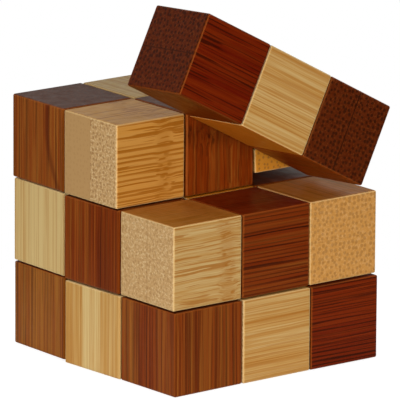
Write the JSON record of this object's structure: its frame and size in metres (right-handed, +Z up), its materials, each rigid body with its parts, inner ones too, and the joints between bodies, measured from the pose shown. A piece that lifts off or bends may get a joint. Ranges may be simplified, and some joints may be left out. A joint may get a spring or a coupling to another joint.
{
  "type": "snake cube puzzle",
  "caption": "Bamboo snake puzzle: dark and light cubes threaded on an elastic cord, folded into a cube with its front top row swung up.",
  "frame": {"origin": "centre of the bottom face of the stack's middle cube, on the surface it stands on", "axes": "+Z up; +X along the stack's right-hand front side, from its front corner; +Y along its left-hand side, from its front corner"},
  "size_m": [0.0658, 0.0628, 0.0884],
  "materials": {
    "dark_bamboo": "satin",
    "light_bamboo": "satin",
    "peg": "bare",
    "elastic": "woven cover"
  },
  "bodies": {
    "cube_01": {"cube_01_end_dark": "dark_bamboo", "elastic_cube_01": "elastic", "peg_cube_01": "peg"},
    "cube_03": {"cube_03_corner_dark": "dark_bamboo", "elastic_cube_03": "elastic"},
    "cube_04": {"cube_04_straight_light": "light_bamboo"},
    "cube_05": {"cube_05_corner_dark": "dark_bamboo", "elastic_cube_05": "elastic"},
    "cube_06": {"cube_06_straight_light": "light_bamboo", "elastic_cube_06": "elastic"},
    "cube_07": {"cube_07_corner_dark": "dark_bamboo", "elastic_cube_07": "elastic"},
    "cube_08": {"cube_08_straight_light": "light_bamboo", "elastic_cube_08": "elastic"},
    "cubes_09_to_16": {"cube_09_corner_dark": "dark_bamboo", "cube_10_corner_light": "light_bamboo", "cube_11_corner_dark": "dark_bamboo", "cube_12_corner_light": "light_bamboo", "cube_13_straight_dark": "dark_bamboo", "cube_14_corner_light": "light_bamboo", "cube_15_straight_dark": "dark_bamboo", "cube_16_corner_light": "light_bamboo", "elastic_cubes_09_to_16": "elastic"},
    "cubes_17_to_21": {"cube_17_corner_dark": "dark_bamboo", "cube_18_corner_light": "light_bamboo", "cube_19_straight_dark": "dark_bamboo", "cube_20_corner_light": "light_bamboo", "cube_21_corner_dark": "dark_bamboo", "elastic_cubes_17_to_21": "elastic"},
    "cube_22": {"cube_22_straight_light": "light_bamboo", "elastic_cube_22": "elastic"},
    "cube_23": {"cube_23_corner_dark": "dark_bamboo", "elastic_cube_23": "elastic"},
    "cube_24": {"cube_24_corner_light": "light_bamboo", "elastic_cube_24": "elastic"},
    "cube_25": {"cube_25_corner_dark": "dark_bamboo", "elastic_cube_25": "elastic"},
    "cube_26": {"cube_26_straight_light": "light_bamboo", "elastic_cube_26": "elastic"},
    "cube_27": {"cube_27_end_dark": "dark_bamboo", "elastic_cube_27": "elastic", "peg_cube_27": "peg"},
    "cube_02": {"cube_02_straight_light": "light_bamboo"},
    "cord_in_cube_04": {"elastic_cube_04": "elastic"},
    "cord_02_by_03": {"elastic_cube_02_by_03": "elastic"},
    "cord_02_by_01": {"elastic_cube_02_by_01": "elastic"}
  },
  "joints": [
    {"name": "pull_22_from_23", "type": "slide", "parent": "cube_23", "child": "cube_22", "axis": [0, 0, 1], "range_m": [0, 0.006], "stiffness_N_per_m": 150, "springref_m": -0.027},
    {"name": "pull_21_from_22", "type": "slide", "parent": "cube_22", "child": "cubes_17_to_21", "axis": [0, 0, 1], "range_m": [0, 0.006], "stiffness_N_per_m": 150, "springref_m": -0.027},
    {"name": "pull_16_from_17", "type": "slide", "parent": "cubes_17_to_21", "child": "cubes_09_to_16", "axis": [0, 0, 1], "range_m": [0, 0.006], "stiffness_N_per_m": 150, "springref_m": -0.027},
    {"name": "pull_08_from_09", "type": "slide", "parent": "cubes_09_to_16", "child": "cube_08", "axis": [0, 0, 1], "range_m": [0, 0.006], "stiffness_N_per_m": 150, "springref_m": -0.027},
    {"name": "pull_07_from_08", "type": "slide", "parent": "cube_08", "child": "cube_07", "axis": [0, 0, 1], "range_m": [0, 0.006], "stiffness_N_per_m": 150, "springref_m": -0.027},
    {"name": "pull_06_from_07", "type": "slide", "parent": "cube_07", "child": "cube_06", "axis": [1, 0, 0], "range_m": [0, 0.006], "stiffness_N_per_m": 150, "springref_m": -0.027},
    {"name": "pull_05_from_06", "type": "slide", "parent": "cube_06", "child": "cube_05", "axis": [1, 0, 0], "range_m": [0, 0.006], "stiffness_N_per_m": 150, "springref_m": -0.027},
    {"name": "pull_04_from_05", "type": "slide", "parent": "cube_05", "child": "cube_04", "axis": [0, -0.9978, 0.0663], "range_m": [0, 0.006], "stiffness_N_per_m": 150, "springref_m": -0.027},
    {"name": "swing_row_on_04", "type": "hinge", "parent": "cube_04", "child": "cord_in_cube_04", "pos_m": [0.0211, -0.02035, 0.05509], "axis": [0, 0.9978, -0.0663], "range_deg": [-28.6, 170]},
    {"name": "pull_03_from_04", "type": "slide", "parent": "cord_in_cube_04", "child": "cube_03", "axis": [0, -0.9978, 0.0663], "range_m": [0, 0.006], "stiffness_N_per_m": 150, "springref_m": -0.027},
    {"name": "pull_02_from_03", "type": "slide", "parent": "cube_03", "child": "cord_02_by_03", "axis": [-0.878, 0.0317, 0.4776], "range_m": [0, 0.006], "stiffness_N_per_m": 150, "springref_m": -0.027},
    {"name": "twist_02_on_03", "type": "hinge", "parent": "cord_02_by_03", "child": "cube_02", "pos_m": [0.0211, -0.02035, 0.05509], "axis": [-0.878, 0.0317, 0.4776], "range_deg": [-1, 15]},
    {"name": "twist_01_on_02", "type": "hinge", "parent": "cube_02", "child": "cord_02_by_01", "pos_m": [0.0211, -0.02035, 0.05509], "axis": [-0.878, 0.0317, 0.4776], "continuous": true},
    {"name": "pull_01_from_02", "type": "slide", "parent": "cord_02_by_01", "child": "cube_01", "axis": [-0.878, 0.0317, 0.4776], "range_m": [0, 0.006], "stiffness_N_per_m": 150, "springref_m": -0.027},
    {"name": "pull_24_from_23", "type": "slide", "parent": "cube_23", "child": "cube_24", "axis": [0, -1, 0], "range_m": [0, 0.006], "stiffness_N_per_m": 150, "springref_m": -0.027},
    {"name": "pull_25_from_24", "type": "slide", "parent": "cube_24", "child": "cube_25", "axis": [1, 0, 0], "range_m": [0, 0.006], "stiffness_N_per_m": 150, "springref_m": -0.027},
    {"name": "pull_26_from_25", "type": "slide", "parent": "cube_25", "child": "cube_26", "axis": [0, 1, 0], "range_m": [0, 0.006], "stiffness_N_per_m": 150, "springref_m": -0.027},
    {"name": "pull_27_from_26", "type": "slide", "parent": "cube_26", "child": "cube_27", "axis": [0, 1, 0], "range_m": [0, 0.006], "stiffness_N_per_m": 150, "springref_m": -0.027}
  ]
}
